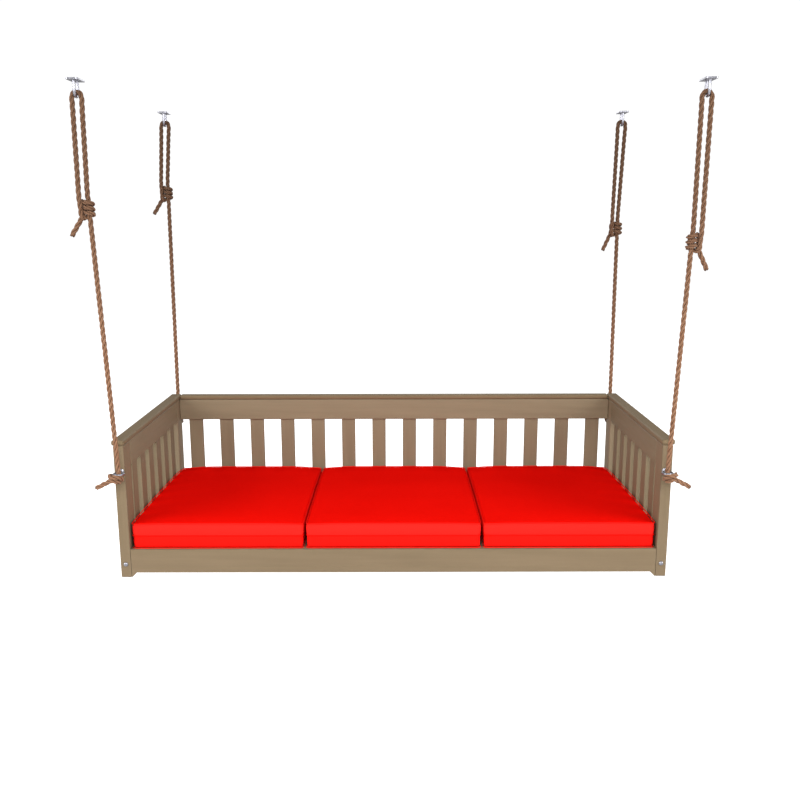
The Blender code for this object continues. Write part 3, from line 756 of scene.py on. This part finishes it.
def rope_material():
    """Tan fibre: twisted yarns, painted shade in the valleys between the strands, painted shade darkening
    the rope towards the top and on the rear ropes, and bound ends.
    """
    material, tree, shader = new_material("rope_fibre")
    outwards = add_node(tree, "ShaderNodeAttribute", attribute_name="outwards").outputs["Fac"]
    aside = add_node(tree, "ShaderNodeAttribute", attribute_name="aside").outputs["Fac"]
    along = add_node(tree, "ShaderNodeAttribute", attribute_name="along").outputs["Fac"]
    cut = add_node(tree, "ShaderNodeAttribute", attribute_name="cut").outputs["Fac"]
    place = object_place(tree)
    angle = arithmetic(tree, "ARCTAN2", aside, outwards)
    turned = arithmetic(tree, "MULTIPLY", angle, 5.0)
    twist = arithmetic(tree, "MULTIPLY_ADD", along, -2 * math.pi / 0.010, turned)
    yarns = arithmetic(tree, "SINE", twist)
    fibres = noise(tree, stretched(tree, place, (1400, 1400, 500)), 1.0, 3.0, 0.6)
    blotches = noise(tree, place, 26.0, 4.0, 0.6)
    shade = arithmetic(tree, "MULTIPLY_ADD", remap(tree, yarns, -1, 1), 0.26, 0.02)
    shade = arithmetic(tree, "MULTIPLY_ADD", remap(tree, fibres, 0.3, 0.7), 0.22, shade)
    shade = arithmetic(tree, "MULTIPLY_ADD", remap(tree, blotches, 0.3, 0.7), 0.50, shade)
    colour = blend_colours(tree, shade, (0.185, 0.082, 0.040), (0.300, 0.165, 0.096))
    # painted shade in the valleys between the strands, on the strand sides that face the rope's middle
    painted_valley_shade = remap(tree, outwards, 0.45, -0.35, 0.0, 0.55, smooth=True)
    colour = blend_colours(tree, painted_valley_shade, colour, (0.085, 0.036, 0.017))
    _, y, height = split(tree, place)
    # painted shade: each rope darker towards the top, and the rear ropes darker still from near their lower
    # end up
    painted_rope_shade = remap(tree, height, -1.05, -0.15, 0.0, 0.65, smooth=True)
    behind = arithmetic(tree, "GREATER_THAN", y, 0.0)
    painted_rear_shade = remap(tree, height, -1.25, -0.75, 0.0, 0.26, smooth=True)
    painted_rope_shade = arithmetic(tree, "ADD", painted_rope_shade, arithmetic(tree, "MULTIPLY", painted_rear_shade, behind))
    colour = blend_colours(tree, painted_rope_shade, colour, (0.075, 0.038, 0.019))
    colour = blend_colours(tree, arithmetic(tree, "MULTIPLY", cut, 0.75), colour, (0.05, 0.025, 0.014))
    tree.links.new(colour, shader.inputs["Base Color"])
    shader.inputs["Roughness"].default_value = 0.85
    shader.inputs["Specular IOR Level"].default_value = 0.25
    shader.inputs["Sheen Weight"].default_value = 0.05
    relief = arithmetic(tree, "MULTIPLY_ADD", yarns, 0.5, fibres)
    tree.links.new(bump(tree, relief, 0.0005, 0.8), shader.inputs["Normal"])
    return material


def add_ropes():
    fibre = rope_material()
    for corner, (_, side_y, *_) in CORNERS.items():
        knot_line = smooth_line(knot_route(corner), RING_STEP)
        knot = laid_rope(f"laid_knot_{corner}", knot_line, slim_start=2)
        knot.data.materials.append(fibre)
        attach(knot, "seat")
        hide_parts(f"end_knot_{corner}")
        line = smooth_line(rope_route(corner), RING_STEP)
        rope = laid_rope(f"laid_rope_{corner}", line, squeeze_round=np.array(hitch_middle(corner)))
        rope.data.materials.append(fibre)
        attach(rope, "front_ropes" if side_y < 0 else "rear_ropes")
        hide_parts(f"rope_{corner}")


# ---- cushions -----------------------------------------------------------------------------------
VOXEL = 0.0085             # of the remeshed cushion blanks
SWELL_CAP = 0.009          # no point of the cover moves further than this while it swells
TUCK = 0.003               # seams lie this far inside the cushion's own space
CUSHION_ROUND = 0.005      # radius of the sewn edges
ARM_SPACE = 0.001          # the outer cushions stop this far short of the arms
SEAM_DEPTH = 0.0032        # the seam round the boxing pulls in this far
SEAM_REACH = 0.006
LOWER_INSET = 0.002        # the boxing below the seam lies this much further in
FLAT_TOP = 0.35            # share of the swelling that the firm foam lets through at the top
CORNER_DIP = 0.007
CORNER_REACH = 0.075
REAR_SAG = 0.014           # the top sinks this far towards the back
WELT = 0.0016              # radius of the sewn edge's welt
WELT_INSET = CUSHION_ROUND * 0.29 - WELT * 0.4
WEAVE = 0.0011             # from one thread of the canvas to the next but one


def cushion_space(node):
    """Lowest and highest corner of a cushion's seams."""
    low, high = [np.array(corner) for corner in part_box(node)]
    low += (TUCK, TUCK, 0.0)
    high -= (TUCK, TUCK, TUCK)
    if node.endswith("left"):
        low[0] += ARM_SPACE
    if node.endswith("right"):
        high[0] -= ARM_SPACE
    return low, high


def cushion_blank(node, low, high):
    """The cushion before it swells: a rounded box of even small faces."""
    bm = bmesh.new()
    centre = Vector((low + high) / 2)
    size = Vector(high - low)
    bmesh.ops.create_cube(bm, size=1.0, matrix=Matrix.Translation(centre) @ Matrix.Diagonal((*size, 1)))
    bmesh.ops.bevel(bm, geom=bm.edges[:], offset=CUSHION_ROUND, segments=3, affect="EDGES", profile=0.5)
    mesh = bpy.data.meshes.new(node)
    bm.to_mesh(mesh)
    bm.free()
    item = link(bpy.data.objects.new(f"sewn_{node}", mesh))
    remesh = item.modifiers.new("even_faces", "REMESH")
    remesh.mode = "VOXEL"
    remesh.voxel_size = VOXEL
    bake_modifiers(item)
    return item


def bake_modifiers(item):
    graph = bpy.context.evaluated_depsgraph_get()
    mesh = bpy.data.meshes.new_from_object(item.evaluated_get(graph))
    item.modifiers.clear()
    item.data = mesh


def read_points(mesh):
    values = np.empty(len(mesh.vertices) * 3)
    mesh.vertices.foreach_get("co", values)
    return values.reshape(-1, 3)


def write_points(mesh, points):
    mesh.vertices.foreach_set("co", points.reshape(-1))
    mesh.update()


def seam_share(points, low, high):
    """1 on the seam that runs round the boxing at mid height, fading above and below it."""
    off = np.abs(points[:, 2] - (low[2] + high[2]) / 2) / SEAM_REACH
    on_side = side_share(points, low, high)
    return np.exp(-off ** 2) * on_side


def side_share(points, low, high):
    """1 on the upright faces, 0 well inside the top and bottom faces."""
    inside = np.minimum(points[:, :2] - low[:2], high[:2] - points[:, :2]).min(axis=1)
    return np.clip(1 - inside / 0.02, 0, 1)


def pull_seam(points, low, high):
    """Pull the boxing in along its seam."""
    centre = (low[:2] + high[:2]) / 2
    half = (high[:2] - low[:2]) / 2
    share = seam_share(points, low, high) * SEAM_DEPTH
    share += (points[:, 2] < (low[2] + high[2]) / 2) * side_share(points, low, high) * LOWER_INSET
    place = (points[:, :2] - centre) / half
    inward = -np.sign(place) * (np.abs(place) > 1 - 0.03 / half)
    moved = points.copy()
    moved[:, :2] += inward * share[:, None]
    return moved


def corner_dip(points, low, high):
    """How far the cover sinks near the corners of its top and towards the back."""
    sink = REAR_SAG * np.clip((points[:, 1] - low[1]) / (high[1] - low[1]), 0, 1) ** 2
    for x in (low[0], high[0]):
        for y in (low[1], high[1]):
            off = np.hypot(points[:, 0] - x, points[:, 1] - y) / CORNER_REACH
            depth = CORNER_DIP * (1.0 if y == high[1] else 0.35)
            sink += depth * np.exp(-off ** 2)
    height = np.clip((points[:, 2] - low[2]) / (high[2] - low[2]), 0, 1)
    return sink * height ** 2


def puckers(points, low, high, dice):
    """Small gathers in the boxing beside its upright corner seams."""
    move = np.zeros(len(points))
    for x in (low[0], high[0]):
        phase = dice.uniform(0, 6.28)
        near = np.exp(-(np.abs(points[:, 0] - x) / 0.035) ** 1.5)
        slope = 14 * np.abs(points[:, 0] - x)
        waves = np.sin((points[:, 2] - low[2]) * 2 * math.pi / 0.019 + phase + slope)
        move += near * waves
    front = np.clip(1 - (points[:, 1] - low[1]) / 0.02, 0, 1)
    return move * front


def swell(item, low, high):
    """Blow the blank up with cloth simulation, sewn edges and underside held."""
    rest = read_points(item.data)
    inside = np.minimum(rest - low, high - rest)
    ordered = np.sort(inside, axis=1)
    on_edge = ordered[:, 1] < VOXEL
    held = on_edge | (rest[:, 2] < low[2] + VOXEL) | (seam_share(rest, low, high) > 0.6)
    group = item.vertex_groups.new(name="sewn")
    group.add(np.nonzero(held)[0].tolist(), 1.0, "REPLACE")
    cloth = item.modifiers.new("swell", "CLOTH")
    settings = cloth.settings
    settings.use_pressure = True
    settings.uniform_pressure_force = 4.0
    settings.effector_weights.gravity = 0.0
    settings.vertex_group_mass = "sewn"
    settings.tension_stiffness = 12.0
    settings.compression_stiffness = 12.0
    settings.shear_stiffness = 5.0
    settings.bending_stiffness = 0.6
    scene = bpy.context.scene
    for step in range(1, 21):
        scene.frame_set(step)
    graph = bpy.context.evaluated_depsgraph_get()
    swollen = item.evaluated_get(graph).to_mesh()
    move = read_points(swollen) - rest
    item.modifiers.clear()
    item.vertex_groups.clear()
    scene.frame_set(1)
    size = np.linalg.norm(move, axis=1, keepdims=True)
    return move * np.minimum(1, SWELL_CAP / np.maximum(size, 1e-9))


def welt_line(low, high, height):
    """A rounded rectangle round the cushion, at one height on its sewn edge."""
    corner = 0.012
    a, b = low[:2] + WELT_INSET, high[:2] - WELT_INSET
    knots = []
    for quarter, (x, y) in enumerate(((b[0], b[1]), (a[0], b[1]), (a[0], a[1]), (b[0], a[1]))):
        centre_x = x - corner * (1 if x == b[0] else -1)
        centre_y = y - corner * (1 if y == b[1] else -1)
        for step in range(7):
            angle = math.pi / 2 * (quarter + step / 6)
            knots.append((centre_x + corner * math.cos(angle), centre_y + corner * math.sin(angle), height))
    knots.append(knots[0])
    return evenly_spaced(np.array(knots), 0.006)[:-1]


def closed_tube(line, radius, sides):
    ahead = np.roll(line, -1, axis=0)
    behind = np.roll(line, 1, axis=0)
    tangents = unit(ahead - behind)
    first = unit(np.cross(tangents, (0, 0, 1)))
    circle = round_section(sides, first, np.cross(tangents, first))
    points = (line[:, None] + circle * radius).reshape(-1, 3)
    faces = []
    for ring in range(len(line)):
        here, there = ring * sides, (ring + 1) % len(line) * sides
        for side in range(sides):
            after = (side + 1) % sides
            faces.append((here + side, here + after, there + after, there + side))
    return points, faces


def fabric_material():
    """Red outdoor canvas: a plain weave on every side, faint slubs and fading, and painted light: the boxing
    lighter and pinker than the top, and lighter still above its seam.
    """
    material, tree, shader = new_material("red_canvas")
    place = object_place(tree)
    facing = split(tree, add_node(tree, "ShaderNodeNewGeometry").outputs["Normal"])
    x, y, z = split(tree, place)
    upward = arithmetic(tree, "GREATER_THAN", arithmetic(tree, "ABSOLUTE", facing[2]), 0.6)
    sideways = arithmetic(tree, "GREATER_THAN", arithmetic(tree, "ABSOLUTE", facing[0]), 0.6)
    rows = arithmetic(tree, "ADD", arithmetic(tree, "MULTIPLY", y, upward),
                      arithmetic(tree, "MULTIPLY", z, arithmetic(tree, "SUBTRACT", 1.0, upward)))
    columns = arithmetic(tree, "ADD", arithmetic(tree, "MULTIPLY", y, sideways),
                         arithmetic(tree, "MULTIPLY", x, arithmetic(tree, "SUBTRACT", 1.0, sideways)))
    warp = arithmetic(tree, "SINE", arithmetic(tree, "MULTIPLY", columns, 2 * math.pi / WEAVE))
    weft = arithmetic(tree, "SINE", arithmetic(tree, "MULTIPLY", rows, 2 * math.pi / WEAVE))
    weave = arithmetic(tree, "MULTIPLY", warp, weft)
    slubs = noise(tree, stretched(tree, place, (60, 60, 60)), 1.0, 4.0, 0.7)
    fading = noise(tree, place, 3.2, 3.0, 0.5)
    shade = arithmetic(tree, "MULTIPLY_ADD", remap(tree, slubs, 0.3, 0.7), 0.18, 0.30)
    shade = arithmetic(tree, "MULTIPLY_ADD", remap(tree, fading, 0.3, 0.7), 0.25, shade)
    shade = arithmetic(tree, "MULTIPLY_ADD", weave, 0.06, shade)
    colour = blend_colours(tree, shade, (0.70, 0.0028, 0.0012), (0.86, 0.0054, 0.0026))
    low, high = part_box("cushion_middle")
    # painted light: the boxing above its seam lighter than below it
    painted_light_upper_band = arithmetic(tree, "GREATER_THAN", z, (low[2] + high[2]) / 2)
    upright = arithmetic(tree, "SUBTRACT", 1.0, upward)
    # painted light: the upright boxing lighter and pinker than the top
    colour = blend_colours(tree, arithmetic(tree, "MULTIPLY", upright, 0.55), colour, (0.90, 0.013, 0.009))
    painted_light_upper_band = arithmetic(tree, "MULTIPLY", arithmetic(tree, "MULTIPLY", painted_light_upper_band, upright), 0.75)
    colour = blend_colours(tree, painted_light_upper_band, colour, (0.86, 0.020, 0.015))
    tree.links.new(colour, shader.inputs["Base Color"])
    shader.inputs["Roughness"].default_value = 0.9
    shader.inputs["Specular IOR Level"].default_value = 0.0
    relief = arithmetic(tree, "MULTIPLY_ADD", slubs, 1.2, weave)
    tree.links.new(bump(tree, relief, 0.00012, 0.7), shader.inputs["Normal"])
    return material


def add_cushions():
    canvas = fabric_material()
    dice = random.Random(5)
    for side in ("left", "middle", "right"):
        node = f"cushion_{side}"
        low, high = cushion_space(node)
        item = cushion_blank(node, low, high)
        points = pull_seam(read_points(item.data), low, high)
        write_points(item.data, points)
        move = swell(item, low, high)
        move[:, 2] *= FLAT_TOP
        swollen = points + move
        swollen[:, 2] -= corner_dip(points, low, high)
        swollen[:, 1] += 0.0009 * puckers(points, low, high, dice)
        swollen[:, 2] = np.maximum(swollen[:, 2], low[2])
        write_points(item.data, swollen)
        item.data.shade_smooth()
        smooth = item.modifiers.new("smooth_cover", "SUBSURF")
        smooth.levels = 1
        smooth.render_levels = 1
        item.data.materials.append(canvas)
        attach(item, f"{side}_cushion")
        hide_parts(node)
        add_welts(item, side, low, high, canvas)


def add_welts(item, side, low, high, canvas):
    """Thin welts round the top, the middle and the bottom of the boxing."""
    heights = {"top": high[2] - WELT_INSET, "middle": (low[2] + high[2]) / 2, "bottom": low[2] + WELT_INSET}
    for level, height in heights.items():
        line = welt_line(low, high, height)
        line[:, 2] -= corner_dip(line, low, high)
        points, faces = closed_tube(line, WELT, 8)
        welt = mesh_object(f"{level}_welt_{side}", points, faces)
        outward_normals(welt)
        welt.data.materials.append(canvas)
        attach(welt, f"{side}_cushion")


# ---- the scene ----------------------------------------------------------------------------------
bpy.context.scene.view_settings.view_transform = "Standard"
add_camera()
add_world()
add_floor()
add_lights()
add_ropes()
zinc = zinc_material()
add_eye_screws(zinc)
add_carriage_bolts(zinc)
add_hooks(zinc)
dress_wood()
add_cushions()
